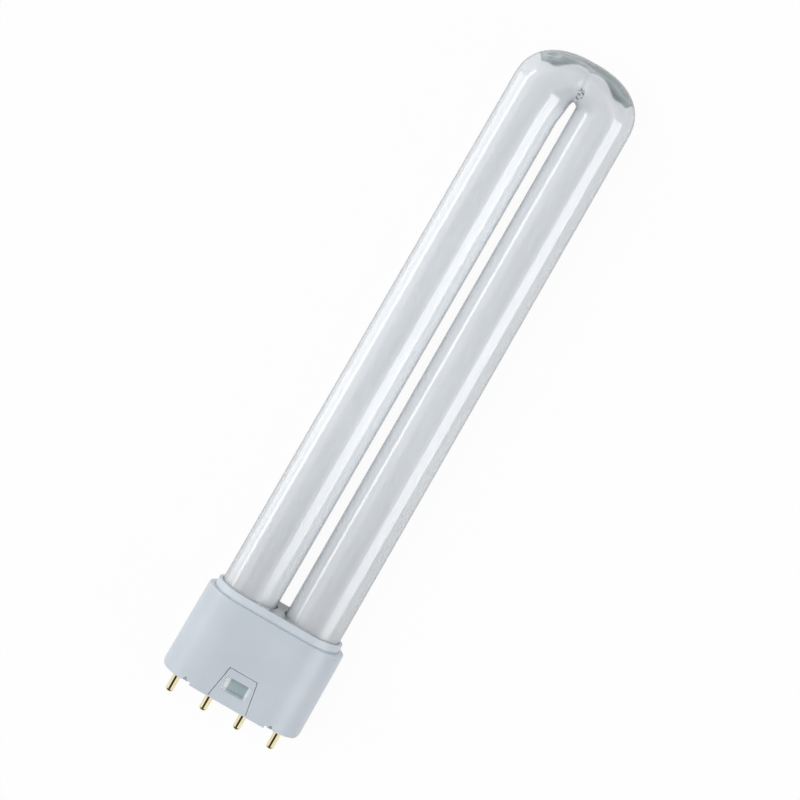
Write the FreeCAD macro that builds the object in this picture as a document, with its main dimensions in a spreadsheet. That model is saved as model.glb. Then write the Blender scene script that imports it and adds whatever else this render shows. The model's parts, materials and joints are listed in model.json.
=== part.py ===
"""A U shaped fluorescent lamp: one bent glass tube in a flat plastic cap with four contact pins in a row.

Each piece is drawn in the lamp's own frame, in millimetres: x across the two legs, y through the depth of
the cap, z along the legs, with z = 0 at the lowest face of the cap and the pins below it. One placement
then lays the whole lamp on the broad side of its cap, with the tube's tip towards +Y and the front face up.
"""

import FreeCAD, Part
import math
import os

import Sketcher

App = FreeCAD
V = App.Vector

doc = App.newDocument("FluorescentLamp")

# Driving dimensions, in millimetres and degrees
SIZES = {
    # the whole lamp, from the lowest face of the cap to the tip of the glass
    "lamp_length": 210.75,
    # glass tube
    "tube_diameter": 17.35,
    "leg_gap": 2.9,
    "glass_wall": 1.1,
    "foot_wall": 1.6,
    "foot_rounding": 1.2,
    "dome_flattening": 4.9,
    "dome_fullness": 2.35,
    "bend_lead_in": 5.0,
    "pinch_depth": 0.7,
    # cap shell
    "cap_top": 27.35,
    "cap_draft": 0.6,
    "cap_wall": 1.65,
    "cap_top_rounding": 0.5,
    "cap_corner_radius": 1.5,
    "rebate_step": 0.35,
    # steps in the lower edge of the cap, each rise measured from its lowest face
    "middle_width": 24.4,
    "end_rise": 0.2,
    "step_width": 0.85,
    "step_rise": 0.8,
    "notch_width": 2.0,
    "notch_rise": 1.6,
    # tube holder
    "rim_side_wall": 1.0,
    "rim_face_wall": 0.875,
    "rim_height": 2.45,
    "rim_rounding": 0.25,
    "holder_foot": 13.0,
    "holder_flange": 2.0,
    "shelf_thickness": 1.5,
    "shelf_overlap": 2.4,
    "holder_gap": 0.1,
    "cement_thickness": 0.3,
    "cement_foot": 16.0,
    "cement_length": 13.4,
    # pin carrier and its latch tongues
    "plate_thickness": 3.5,
    "plate_gap": 0.1,
    "tongue_foot_width": 12.25,
    "tongue_top_width": 8.7,
    "tongue_top": 10.35,
    "tongue_gap": 0.16,
    "tongue_back_width": 15.0,
    "tongue_back_top": 11.5,
    "tongue_back_thickness": 1.6,
    "recess_width": 7.85,
    "recess_foot": 3.7,
    "recess_length": 4.3,
    "recess_depth": 2.2,
    "recess_draft": 15.0,
    # contact pins
    "pin_diameter": 2.4,
    "pin_pair_offset": 0.875,
    "pin_pitch": 11.0,
    "pin_length": 7.0,
    "pin_tip_rounding": 1.0,
    "pin_root_diameter": 2.8,
    "pin_collar_diameter": 3.4,
    "pin_collar_thickness": 0.8,
    "pin_head": 2.4,
    "pin_bore_diameter": 0.8,
    "pin_bore_end": 2.0,
    # lead wires
    "wire_diameter": 0.7,
    "wire_spread": 3.2,
    "wire_straight": 2.0,
    "wire_lead_in": 0.6,
    "wire_end": 3.2,
}

PIN_COUNT = 4
SIDES = {"left": -1, "right": 1}
# the bend is lofted in smooth spans, each through several sections
SPAN_COUNT = 4
STEP_COUNT = 3
# how sharply the pinch is kept to the middle of the arch
PINCH_POWER = 24
# lengths and volumes under this count as none
TINY = 1e-4

sheet = doc.addObject("Spreadsheet::Sheet", "Sizes")
for row, (alias, number) in enumerate(SIZES.items(), start=1):
    sheet.set(f"A{row}", alias)
    sheet.set(f"B{row}", str(number))
    sheet.setAlias(f"B{row}", alias)
doc.recompute()

# Lengths that more than one piece is made from, worked out from the tube outwards
LEG_PITCH = "(tube_diameter + leg_gap)"
BORE_RADIUS = "(tube_diameter / 2 + cement_thickness)"
HOLDER_TOP = "(cap_top + rim_height)"
HOLDER_WIDTH = f"({LEG_PITCH} + 2 * {BORE_RADIUS} + 2 * rim_side_wall)"
HOLDER_DEPTH = f"(2 * {BORE_RADIUS} + 2 * rim_face_wall)"
CAVITY_WIDTH = f"({HOLDER_WIDTH} + 2 * holder_gap)"
CAVITY_DEPTH = f"({HOLDER_DEPTH} + 2 * holder_gap)"
REBATE_WIDTH = f"({CAVITY_WIDTH} + 2 * rebate_step)"
REBATE_DEPTH = f"({CAVITY_DEPTH} + 2 * rebate_step)"
REBATE_TOP = "(holder_foot + holder_flange)"
CAP_WIDTH = f"({CAVITY_WIDTH} + 2 * cap_wall)"
CAP_DEPTH = f"({CAVITY_DEPTH} + 2 * cap_wall)"
TUBE_FOOT = "(holder_foot + shelf_thickness)"
HALF_SPAN = "(tube_diameter + leg_gap / 2)"
HALF_SLOT = "(leg_gap / 2)"
DOME_RISE = f"({HALF_SPAN} - dome_flattening)"
ARCH_HEIGHT = f"(lamp_length - {DOME_RISE})"
LEG_TOP = f"({ARCH_HEIGHT} - bend_lead_in)"
CAP_FOOT_HALF_WIDTH = f"({CAP_WIDTH} / 2 + cap_top * tan(cap_draft))"
CAP_FOOT_HALF_DEPTH = f"({CAP_DEPTH} / 2 + cap_top * tan(cap_draft))"
PIN_TOP = "(plate_thickness + pin_head)"
# the length of a cut that runs out past both faces of the cap
BEYOND = f"(2 * {CAP_WIDTH})"


def bound(text):
    """An expression with each size's name replaced by a reference to its cell."""
    words = []
    word = ""
    for letter in str(text) + " ":
        if letter.isalnum() or letter == "_":
            word += letter
            continue
        words.append(f"Sizes.{word}" if word in SIZES else word)
        words.append(letter)
        word = ""
    return "".join(words).strip()


def amount(text):
    """The number that an expression of sizes comes to now."""
    result = sheet.evalExpression(bound(text))
    return float(getattr(result, "Value", result))


def make_body(label):
    body = doc.addObject("PartDesign::Body", f"{label}_body")
    body.Label = label
    return body


def make_sketch(body, name, role, height=None):
    """A sketch on one of the body's own planes, at a height above it."""
    sketch = body.newObject("Sketcher::SketchObject", name)
    plane = next(feature for feature in body.Origin.OriginFeatures if feature.Role == role)
    sketch.AttachmentSupport = [(plane, "")]
    sketch.MapMode = "FlatFace"
    if height:
        sketch.setExpression(".AttachmentOffset.Base.z", bound(height))
    doc.recompute()
    return sketch


def set_size(sketch, kind, items, text):
    """A dimension between sketch points, tied to the sizes."""
    index = sketch.addConstraint(Sketcher.Constraint(kind, *items, amount(text)))
    sketch.setExpression(f"Constraints[{index}]", bound(text))


def place_point(sketch, curve, point, x, y):
    """Ties a point of a curve to its place; x and y are expressions measured from the sketch's origin."""
    for kind, text, axis in (("DistanceX", x, -2), ("DistanceY", y, -1)):
        if abs(amount(text)) < TINY:
            sketch.addConstraint(Sketcher.Constraint("PointOnObject", curve, point, axis))
        elif amount(text) > 0:
            set_size(sketch, kind, (-1, 1, curve, point), text)
        else:
            set_size(sketch, kind, (curve, point, -1, 1), f"-({text})")


def draw_circle(sketch, radius, x="0"):
    """A circle centred on the sketch's x axis."""
    centre = V(amount(x), 0, 0)
    curve = sketch.addGeometry(Part.Circle(centre, V(0, 0, 1), amount(radius)), False)
    set_size(sketch, "Radius", (curve,), radius)
    place_point(sketch, curve, 3, x, "0")


def draw_stadium(sketch, width, depth):
    """An outline with two straight sides and two half-round ends, centred on the origin."""
    half = amount(f"(({width}) - ({depth})) / 2")
    radius = amount(f"({depth}) / 2")
    quarter = math.pi / 2
    curves = (
        Part.LineSegment(V(half, radius, 0), V(-half, radius, 0)),
        Part.ArcOfCircle(Part.Circle(V(-half, 0, 0), V(0, 0, 1), radius), quarter, 3 * quarter),
        Part.LineSegment(V(-half, -radius, 0), V(half, -radius, 0)),
        Part.ArcOfCircle(Part.Circle(V(half, 0, 0), V(0, 0, 1), radius), -quarter, quarter),
    )
    back, left, front, right = (sketch.addGeometry(curve, False) for curve in curves)
    for first, second in ((back, left), (left, front), (front, right), (right, back)):
        sketch.addConstraint(Sketcher.Constraint("Tangent", first, 2, second, 1))
    sketch.addConstraint(Sketcher.Constraint("Horizontal", back))
    sketch.addConstraint(Sketcher.Constraint("Symmetric", left, 3, right, 3, -1, 1))
    set_size(sketch, "Radius", (left,), f"({depth}) / 2")
    set_size(sketch, "DistanceX", (left, 3, right, 3), f"({width}) - ({depth})")


def draw_lines(sketch, corners, closed=True):
    """Straight lines through corners, each a pair of expressions, x and y."""
    points = [V(amount(x), amount(y), 0) for x, y in corners]
    following = points[1:] + points[:1] if closed else points[1:]
    lines = [
        sketch.addGeometry(Part.LineSegment(start, end), False)
        for start, end in zip(points, following)
    ]
    for line, after in zip(lines, lines[1:] + lines[:1] if closed else lines[1:]):
        sketch.addConstraint(Sketcher.Constraint("Coincident", line, 2, after, 1))
    for line, (x, y) in zip(lines, corners):
        place_point(sketch, line, 1, x, y)
    if not closed:
        place_point(sketch, lines[-1], 2, *corners[-1])
    return lines


def draw_box(sketch, left, low, right, high):
    draw_lines(sketch, [(left, low), (right, low), (right, high), (left, high)])


def make_feature(kind, sketch, length, reverse=False, taper=None, both_ways=False):
    """A pad or a pocket from a sketch; it stops the script if it adds or cuts nothing."""
    body = sketch.getParentGeoFeatureGroup()
    feature = body.newObject(f"PartDesign::{kind}", f"{sketch.Name}_{kind.lower()}")
    feature.Profile = sketch
    feature.Reversed = reverse
    feature.Midplane = both_ways
    feature.setExpression("Length", bound(length))
    if taper:
        feature.setExpression("TaperAngle", bound(taper))
    doc.recompute()
    change = feature.Shape.Volume
    if feature.BaseFeature:
        change -= feature.BaseFeature.Shape.Volume
    if (change if kind == "Pad" else -change) < TINY:
        raise RuntimeError(f"{body.Label}: {feature.Name} changed the volume by {change:.4f}")
    return feature


def pad(sketch, length, **options):
    return make_feature("Pad", sketch, length, **options)


def pocket(sketch, length, **options):
    return make_feature("Pocket", sketch, length, **options)


def round_edges(feature, height, radius):
    """Rounds all the edges that lie flat at a height."""
    level = amount(height)
    names = [
        f"Edge{number}"
        for number, edge in enumerate(feature.Shape.Edges, start=1)
        if max(abs(edge.BoundBox.ZMin - level), abs(edge.BoundBox.ZMax - level)) < TINY
    ]
    body = feature.getParentGeoFeatureGroup()
    rounding = body.newObject("PartDesign::Fillet", f"{feature.Name}_rounding")
    rounding.Base = (feature, names)
    rounding.setExpression("Radius", bound(radius))
    doc.recompute()
    if not names or rounding.Shape.isNull() or not rounding.Shape.isValid():
        raise RuntimeError(f"{body.Label}: the edges at {level} mm could not be rounded")
    return rounding


def lay_down(piece):
    """Turns a piece from the lamp's frame onto the floor, with the whole lamp's box over the origin."""
    piece.Placement = App.Placement(V(0, 0, 0), App.Rotation(V(1, 0, 0), -90))
    piece.setExpression(".Placement.Base.y", bound("-(lamp_length - pin_length) / 2"))
    piece.setExpression(".Placement.Base.z", bound(CAP_FOOT_HALF_DEPTH))


def make_leg(side, sign):
    """One straight leg, like a test tube: its closed foot down and its open end under the bend."""
    leg = make_body(f"{side}_leg")
    middle = f"{sign} * {LEG_PITCH} / 2"
    outside = make_sketch(leg, f"{side}_leg_outside", "XY_Plane", TUBE_FOOT)
    draw_circle(outside, "tube_diameter / 2", middle)
    wall = pad(outside, f"{LEG_TOP} - {TUBE_FOOT}")
    round_edges(wall, TUBE_FOOT, "foot_rounding")
    inside = make_sketch(leg, f"{side}_leg_inside", "XY_Plane", LEG_TOP)
    draw_circle(inside, "tube_diameter / 2 - glass_wall", middle)
    leg.Tip = pocket(inside, f"{LEG_TOP} - {TUBE_FOOT} - foot_wall")
    return leg


def section_place(radial):
    """A section's own x runs through the lamp's depth, and its y runs out from the middle of the arch."""
    return App.Placement(V(0, 0, 0), App.Rotation(V(0, 1, 0), radial, V(0, 0, 0), "XYZ"))


def leg_section(name, sign, inset):
    """The round section where the bend meets a leg."""
    circle = doc.addObject("Part::Circle", name)
    circle.Placement = section_place(V(sign, 0, 0))
    circle.setExpression(".Placement.Base.x", bound(f"{sign} * {LEG_PITCH} / 2"))
    circle.setExpression(".Placement.Base.z", bound(LEG_TOP))
    circle.setExpression("Radius", bound(f"tube_diameter / 2 - {inset}"))
    return circle


def bend_section(name, angle, inset):
    """One section of the bend, an ellipse in a plane through the middle of the arch.

    Seen from the front, the dome outside is (x / half span) ^ fullness + (z / rise) ^ fullness = 1 and the
    top of the slot is a half circle, so the ellipse reaches from the one to the other. Through the depth it
    is as deep as the tube, less the pinch at the middle of the arch, and it is never wider than it is deep.
    """
    radial = V(math.cos(angle), 0, math.sin(angle))
    across = f"{radial.x:f}"
    along = f"{radial.z:f}"
    dome = (
        f"((abs({across}) / {HALF_SPAN}) ^ dome_fullness + ({along} / {DOME_RISE}) ^ dome_fullness)"
        " ^ (-1 / dome_fullness)"
    )
    half_depth = f"(tube_diameter / 2 - pinch_depth * {radial.z ** PINCH_POWER:f})"
    half_width = f"min(({dome} - {HALF_SLOT}) / 2; {half_depth})"
    middle = f"({HALF_SLOT} + {half_width})"
    ellipse = doc.addObject("Part::Ellipse", name)
    ellipse.Placement = section_place(radial)
    ellipse.setExpression(".Placement.Base.x", bound(f"{across} * {middle}"))
    ellipse.setExpression(".Placement.Base.z", bound(f"{ARCH_HEIGHT} + {along} * {middle}"))
    ellipse.setExpression("MajorRadius", bound(f"{half_depth} - {inset} + {TINY}"))
    ellipse.setExpression("MinorRadius", bound(f"{half_width} - {inset}"))
    return ellipse


def make_bend(name, inset):
    """The whole bend as one solid, made of smooth spans from the right leg round to the left one; inset
    shrinks each section by a wall."""
    last = SPAN_COUNT * STEP_COUNT
    sections = [
        bend_section(f"{name}_section_{number}", math.pi * number / last, inset)
        for number in range(last + 1)
    ]
    right_end = leg_section(f"{name}_right_end", SIDES["right"], inset)
    left_end = leg_section(f"{name}_left_end", SIDES["left"], inset)
    spans = []
    for start in range(0, last, STEP_COUNT):
        span = sections[start : start + STEP_COUNT + 1]
        if span[0] is sections[0]:
            span.insert(0, right_end)
        if span[-1] is sections[-1]:
            span.append(left_end)
        loft = doc.addObject("Part::Loft", f"{name}_span_{start}")
        loft.Sections = span
        loft.Solid = True
        spans.append(loft)
    bend = doc.addObject("Part::MultiFuse", name)
    bend.Shapes = spans
    return bend


def make_glass_tube():
    """The discharge tube: two legs and the bend, hollow all the way and closed at both feet."""
    bend = doc.addObject("Part::Cut", "bend")
    bend.Base = make_bend("bend_outside", "0")
    bend.Tool = make_bend("bend_inside", "glass_wall")
    tube = doc.addObject("Part::MultiFuse", "glass_tube")
    tube.Label = "glass_tube"
    tube.Shapes = [bend] + [make_leg(side, sign) for side, sign in SIDES.items()]
    return tube


def cut_lower_steps(body, notch):
    """Cuts a piece's lower edge at both ends, straight through its depth: the raised end, a small step up
    beside the middle and, in the shell, a peaked notch beside the step."""
    step_end = "middle_width / 2 + step_width"
    corners = [
        ("middle_width / 2", "-cap_wall"),
        ("middle_width / 2", "step_rise"),
        (step_end, "step_rise"),
    ]
    if notch:
        corners.append((f"{step_end} + notch_width / 2", "notch_rise"))
        corners.append((f"{step_end} + notch_width", "end_rise"))
    else:
        corners.append((step_end, "end_rise"))
    corners += [(CAP_WIDTH, "end_rise"), (CAP_WIDTH, "-cap_wall")]
    for side, sign in SIDES.items():
        steps = make_sketch(body, f"{body.Label}_{side}_steps", "XZ_Plane")
        draw_lines(steps, [(f"{sign} * ({x})", z) for x, z in corners])
        pocket(steps, BEYOND, both_ways=True)


def cut_lower_corners(body):
    """Rounds the cap's two lower corners as they are seen from the front, straight through the depth."""
    inner = f"({CAP_FOOT_HALF_WIDTH} - cap_corner_radius)"
    outer = f"({CAP_FOOT_HALF_WIDTH} + cap_corner_radius)"
    high = "(end_rise + cap_corner_radius)"
    low = "(end_rise - cap_corner_radius)"
    for side, sign in SIDES.items():
        sketch = make_sketch(body, f"{body.Label}_{side}_corner", "XZ_Plane")
        corners = [
            (CAP_FOOT_HALF_WIDTH, high),
            (outer, high),
            (outer, low),
            (inner, low),
            (inner, "end_rise"),
        ]
        lines = draw_lines(sketch, [(f"{sign} * {x}", z) for x, z in corners], closed=False)
        radius = amount("cap_corner_radius")
        circle = Part.Circle(V(sign * amount(inner), amount(high), 0), V(0, 0, 1), radius)
        start, end = (-math.pi / 2, 0) if sign > 0 else (math.pi, 3 * math.pi / 2)
        arc = sketch.addGeometry(Part.ArcOfCircle(circle, start, end), False)
        foot_end, side_end = (1, 2) if sign > 0 else (2, 1)
        sketch.addConstraint(Sketcher.Constraint("Coincident", lines[-1], 2, arc, foot_end))
        sketch.addConstraint(Sketcher.Constraint("Coincident", lines[0], 1, arc, side_end))
        set_size(sketch, "Radius", (arc,), "cap_corner_radius")
        pocket(sketch, BEYOND, both_ways=True)


def draw_tongue(sketch, gap):
    """The latch tongue seen from the front, wider at its foot; gap grows it at the sides and the top."""
    foot = f"(tongue_foot_width / 2 + {gap})"
    top = f"(tongue_top_width / 2 + {gap})"
    high = f"tongue_top + {gap}"
    draw_lines(sketch, [(f"-{foot}", "0"), (foot, "0"), (top, high), (f"-{top}", high)])


def make_housing():
    """The outer shell of the cap: open below, with a window for each latch tongue."""
    body = make_body("cap_housing")
    outline = make_sketch(body, "housing_outline", "XY_Plane", "cap_top")
    draw_stadium(outline, CAP_WIDTH, CAP_DEPTH)
    form = pad(outline, "cap_top", reverse=True, taper="cap_draft")
    round_edges(form, "cap_top", "cap_top_rounding")
    cut_lower_steps(body, notch=True)
    cut_lower_corners(body)
    opening = make_sketch(body, "housing_opening", "XY_Plane", "cap_top")
    draw_stadium(opening, CAVITY_WIDTH, CAVITY_DEPTH)
    pocket(opening, "cap_top + cap_wall")
    rebate = make_sketch(body, "housing_rebate", "XY_Plane", REBATE_TOP)
    draw_stadium(rebate, REBATE_WIDTH, REBATE_DEPTH)
    pocket(rebate, f"{REBATE_TOP} + cap_wall")
    window = make_sketch(body, "housing_window", "XZ_Plane")
    draw_tongue(window, "tongue_gap")
    body.Tip = pocket(window, BEYOND, both_ways=True)
    return body


def make_holder():
    """The inner moulding that grips both legs; its top is the rim, and its flange seats under the shell's
    ledge."""
    body = make_body("tube_holder")
    outline = make_sketch(body, "holder_outline", "XY_Plane", "holder_foot")
    draw_stadium(outline, HOLDER_WIDTH, HOLDER_DEPTH)
    block = pad(outline, f"{HOLDER_TOP} - holder_foot")
    round_edges(block, HOLDER_TOP, "rim_rounding")
    flange = make_sketch(body, "holder_flange", "XY_Plane", "holder_foot")
    draw_stadium(flange, f"{REBATE_WIDTH} - 2 * holder_gap", f"{REBATE_DEPTH} - 2 * holder_gap")
    pad(flange, "holder_flange")
    bores = make_sketch(body, "holder_bores", "XY_Plane", HOLDER_TOP)
    ports = make_sketch(body, "holder_ports", "XY_Plane", HOLDER_TOP)
    for sign in SIDES.values():
        draw_circle(bores, BORE_RADIUS, f"{sign} * {LEG_PITCH} / 2")
        draw_circle(ports, "tube_diameter / 2 - shelf_overlap", f"{sign} * {LEG_PITCH} / 2")
    pocket(bores, f"{HOLDER_TOP} - {TUBE_FOOT}")
    body.Tip = pocket(ports, HOLDER_TOP)
    return body


def make_cement(side, sign):
    """The ring of cement between one leg and its bore."""
    body = make_body(f"cement_{side}")
    ring = make_sketch(body, f"cement_{side}_ring", "XY_Plane", "cement_foot")
    draw_circle(ring, BORE_RADIUS, f"{sign} * {LEG_PITCH} / 2")
    draw_circle(ring, "tube_diameter / 2", f"{sign} * {LEG_PITCH} / 2")
    body.Tip = pad(ring, "cement_length")
    return body


def foot_signs(number):
    """Which leg a pin or wire, counted from 0, belongs to and on which side of it: -1 is left, 1 is right."""
    leg_sign = -1 if number < PIN_COUNT / 2 else 1
    spread_sign = -1 if number % 2 == 0 else 1
    return leg_sign, spread_sign


def pin_place(number):
    """How far a pin stands from the middle: each leg has a pair of pins, centred a little outside the leg."""
    leg_sign, spread_sign = foot_signs(number)
    return f"({leg_sign} * ({LEG_PITCH} / 2 + pin_pair_offset) + {spread_sign} * pin_pitch / 2)"


def make_carrier():
    """The bottom moulding: a plate for the pins, with a latch tongue front and back that fills the shell's
    window and holds a keying recess."""
    body = make_body("pin_carrier")
    outline = make_sketch(body, "carrier_outline", "XY_Plane")
    draw_stadium(outline, f"{REBATE_WIDTH} - 2 * plate_gap", f"{REBATE_DEPTH} - 2 * plate_gap")
    pad(outline, "plate_thickness")
    cut_lower_steps(body, notch=False)
    backing = make_sketch(body, "carrier_backing", "XZ_Plane")
    half_back = "(tongue_back_width / 2)"
    draw_box(backing, f"-{half_back}", "plate_thickness / 2", half_back, "tongue_back_top")
    pad(backing, REBATE_DEPTH, both_ways=True)
    tongue = make_sketch(body, "carrier_tongue", "XZ_Plane")
    draw_tongue(tongue, "0")
    pad(tongue, f"2 * {CAP_FOOT_HALF_DEPTH}", both_ways=True)
    flush = make_sketch(body, "carrier_flush", "YZ_Plane")
    for sign in SIDES.values():
        corners = [
            (CAP_FOOT_HALF_DEPTH, "0"),
            (f"{CAP_DEPTH} / 2", "cap_top"),
            (CAP_DEPTH, "cap_top"),
            (CAP_DEPTH, "0"),
        ]
        draw_lines(flush, [(f"{sign} * ({y})", z) for y, z in corners])
    pocket(flush, BEYOND, both_ways=True)
    hollow = make_sketch(body, "carrier_hollow", "XY_Plane", "tongue_back_top")
    half_hollow = f"({REBATE_DEPTH} / 2 - tongue_back_thickness)"
    draw_box(hollow, f"-{half_back}", f"-{half_hollow}", half_back, half_hollow)
    pocket(hollow, "tongue_back_top - plate_thickness")
    for side, sign in {"front": 1, "back": -1}.items():
        recess = make_sketch(body, f"carrier_{side}_recess", "XZ_Plane", f"{sign} * {CAP_FOOT_HALF_DEPTH}")
        half_recess = "(recess_width / 2)"
        draw_box(recess, f"-{half_recess}", "recess_foot", half_recess, "recess_foot + recess_length")
        pocket(recess, "recess_depth", reverse=sign < 0, taper="-recess_draft")
    holes = make_sketch(body, "carrier_holes", "XY_Plane", "plate_thickness")
    for number in range(PIN_COUNT):
        draw_circle(holes, "pin_root_diameter / 2", pin_place(number))
    body.Tip = pocket(holes, "2 * plate_thickness")
    return body


def make_pin(number):
    """A brass pin with a rounded tip, a thicker root that fills its hole in the plate, a collar that seats
    on the plate, and a bore for the lead wire."""
    body = make_body(f"contact_pin_{number + 1}")
    shank = make_sketch(body, f"pin_{number + 1}_shank", "XY_Plane", "-pin_length")
    draw_circle(shank, "pin_diameter / 2", pin_place(number))
    round_edges(pad(shank, f"pin_length + {PIN_TOP}"), "-pin_length", "pin_tip_rounding")
    plate_face = "end_rise" if number in (0, PIN_COUNT - 1) else "0"
    root = make_sketch(body, f"pin_{number + 1}_root", "XY_Plane", "plate_thickness")
    draw_circle(root, "pin_root_diameter / 2", pin_place(number))
    pad(root, f"plate_thickness - {plate_face}", reverse=True)
    collar = make_sketch(body, f"pin_{number + 1}_collar", "XY_Plane", "plate_thickness")
    draw_circle(collar, "pin_collar_diameter / 2", pin_place(number))
    pad(collar, "pin_collar_thickness")
    bore = make_sketch(body, f"pin_{number + 1}_bore", "XY_Plane", PIN_TOP)
    draw_circle(bore, "pin_bore_diameter / 2", pin_place(number))
    body.Tip = pocket(bore, f"{PIN_TOP} - pin_bore_end")
    return body


def make_wire(number):
    """A lead wire from the foot of a leg, across to its pin and down into the pin's bore."""
    body = make_body(f"lead_wire_{number + 1}")
    leg_sign, spread_sign = foot_signs(number)
    start = f"({leg_sign} * {LEG_PITCH} / 2 + {spread_sign} * wire_spread)"
    section = make_sketch(body, f"wire_{number + 1}_section", "XY_Plane", TUBE_FOOT)
    draw_circle(section, "wire_diameter / 2", start)
    route = make_sketch(body, f"wire_{number + 1}_route", "XZ_Plane")
    draw_lines(
        route,
        [
            (start, TUBE_FOOT),
            (start, f"{TUBE_FOOT} - wire_straight"),
            (pin_place(number), f"{PIN_TOP} + wire_lead_in"),
            (pin_place(number), "wire_end"),
        ],
        closed=False,
    )
    wire = body.newObject("PartDesign::AdditivePipe", f"wire_{number + 1}_pipe")
    wire.Profile = section
    wire.Spine = route
    wire.Transition = "Round corner"
    body.Tip = wire
    return body


def check(pieces):
    """Stops the script if anything failed to build or a piece isn't one sound solid."""
    for item in doc.Objects:
        if "Invalid" in item.State or "Error" in item.State:
            raise RuntimeError(f"{item.Name} failed: {item.State}")
    for piece in pieces:
        shape = piece.Shape
        if shape.isNull() or not shape.isValid() or len(shape.Solids) != 1:
            raise RuntimeError(f"{piece.Label} isn't one sound solid")


pieces = [make_glass_tube(), make_holder(), make_housing(), make_carrier()]
pieces += [make_cement(side, sign) for side, sign in SIDES.items()]
pieces += [make_pin(number) for number in range(PIN_COUNT)]
pieces += [make_wire(number) for number in range(PIN_COUNT)]
for piece in pieces:
    lay_down(piece)
doc.recompute()
check(pieces)

os.makedirs("parts", exist_ok=True)
for piece in pieces:
    piece.Shape.exportStep(f"parts/{piece.Label}.step")
    print(f"{piece.Label:16} {piece.Shape.Volume:10.1f} mm3")
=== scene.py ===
"""A U shaped fluorescent bulb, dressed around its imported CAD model.

The glass tube, the rings of cement and the four contact pins are surfaces worked out here. The
cap's mouldings and the lead wires are the CAD model's own meshes with finishes of their own. All
lengths are in metres, in the frame of the CAD model: +Y from the cap to the tip of the tube, +X
across the legs, +Z up from the floor.
"""

import json
import math

import bpy
import numpy as np
from bpy.props import FloatProperty, FloatVectorProperty, IntProperty, PointerProperty
from mathutils import Matrix, Vector


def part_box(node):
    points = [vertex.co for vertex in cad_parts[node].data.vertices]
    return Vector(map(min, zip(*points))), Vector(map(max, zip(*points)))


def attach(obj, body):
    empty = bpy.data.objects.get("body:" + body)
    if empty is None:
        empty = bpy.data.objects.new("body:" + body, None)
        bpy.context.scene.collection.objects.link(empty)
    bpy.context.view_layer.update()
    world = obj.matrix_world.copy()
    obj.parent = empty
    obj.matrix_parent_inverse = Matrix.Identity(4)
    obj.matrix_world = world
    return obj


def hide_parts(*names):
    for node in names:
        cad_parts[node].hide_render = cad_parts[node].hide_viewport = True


bl_info = {
    "name": "U shaped fluorescent bulb",
    "version": (1, 0, 0),
    "blender": (4, 5, 0),
    "location": "View3D > Sidebar > Bulb",
    "description": "Makes the tube, pins, finishes and stage of a U shaped fluorescent bulb",
    "category": "Object",
}

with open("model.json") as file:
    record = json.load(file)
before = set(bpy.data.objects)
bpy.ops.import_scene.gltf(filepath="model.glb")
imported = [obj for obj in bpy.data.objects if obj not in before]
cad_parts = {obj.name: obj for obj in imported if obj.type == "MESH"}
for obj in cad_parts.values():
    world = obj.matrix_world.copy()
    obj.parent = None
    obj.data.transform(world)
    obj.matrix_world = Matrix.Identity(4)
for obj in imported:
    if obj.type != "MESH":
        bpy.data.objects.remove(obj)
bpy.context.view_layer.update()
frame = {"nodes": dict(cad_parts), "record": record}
TUBE_LOW, TUBE_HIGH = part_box("glass_tube")
MID_DEPTH = (TUBE_LOW.z + TUBE_HIGH.z) / 2
TUBE_RADIUS = (TUBE_HIGH.z - TUBE_LOW.z) / 2
MM = 0.001
# one lead wire ends in each pin
PIN_COUNT = 4

# Roughness of each moulding and of the cement, from the smoothest places to the roughest
CAP_ROUGHNESS = (0.28, 0.36)
HOLDER_ROUGHNESS = (0.3, 0.4)
CEMENT_ROUGHNESS = (0.8, 0.9)

# Direction of the middle of the dark ceiling
CEILING_MIDDLE = (-0.105, 0.0, 0.9945)
# Where each end of the room starts to change and has changed, along a ray's Y or X
TIP_END = (0.25, 0.85)
PINS_END = (-0.65, -0.28)
RIGHT_END = (0.35, 0.9)

# Each lamp's place: its lean in the XZ plane from +Z and half its width as seen from the bulb, both
# in degrees, its distance, and the Y of its far and near ends. A slant, in degrees, turns the far
# end towards overhead, and a lift raises the lamp
LAMPS = {
    "strip": dict(lean=-70, distance=0.5, half_width=6, far_end=0.25, near_end=-0.18, slant=16),
    "card": dict(lean=-90, distance=0.05, half_width=17, far_end=0.096, near_end=-0.078),
    "softbox": dict(lean=58, distance=1.0, half_width=20, far_end=0.26, near_end=-0.275),
    "bounce": dict(
        lean=90, distance=0.001, half_width=77.5, far_end=0.093, near_end=-0.074, lift=4.5 * MM
    ),
    "front": dict(lean=-18, distance=1.2, half_width=12, far_end=0.3, near_end=-0.3),
    "side": dict(lean=62, distance=1.0, half_width=10, far_end=0.3, near_end=-0.3),
}
# Lamps that only show as reflections, and lamps that only light dull surfaces
REFLECTED_ONLY = ("strip", "card", "softbox")
DULL_ONLY = ("front", "side")


def length(name, description, default):
    return FloatProperty(
        name=name, description=description, default=default, unit="LENGTH", subtype="DISTANCE"
    )


def colour(name, description, default):
    return FloatVectorProperty(
        name=name, description=description, default=default, size=3, min=0, max=1, subtype="COLOR"
    )


def angle(name, description, degrees):
    return FloatProperty(
        name=name,
        description=description,
        default=math.radians(degrees),
        unit="ROTATION",
        subtype="ANGLE",
    )


def level(name, description, default):
    return FloatProperty(
        name=name, description=description, default=default, min=0, subtype="FACTOR"
    )


def count(name, description, default):
    return IntProperty(name=name, description=description, default=default, min=4)


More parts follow.
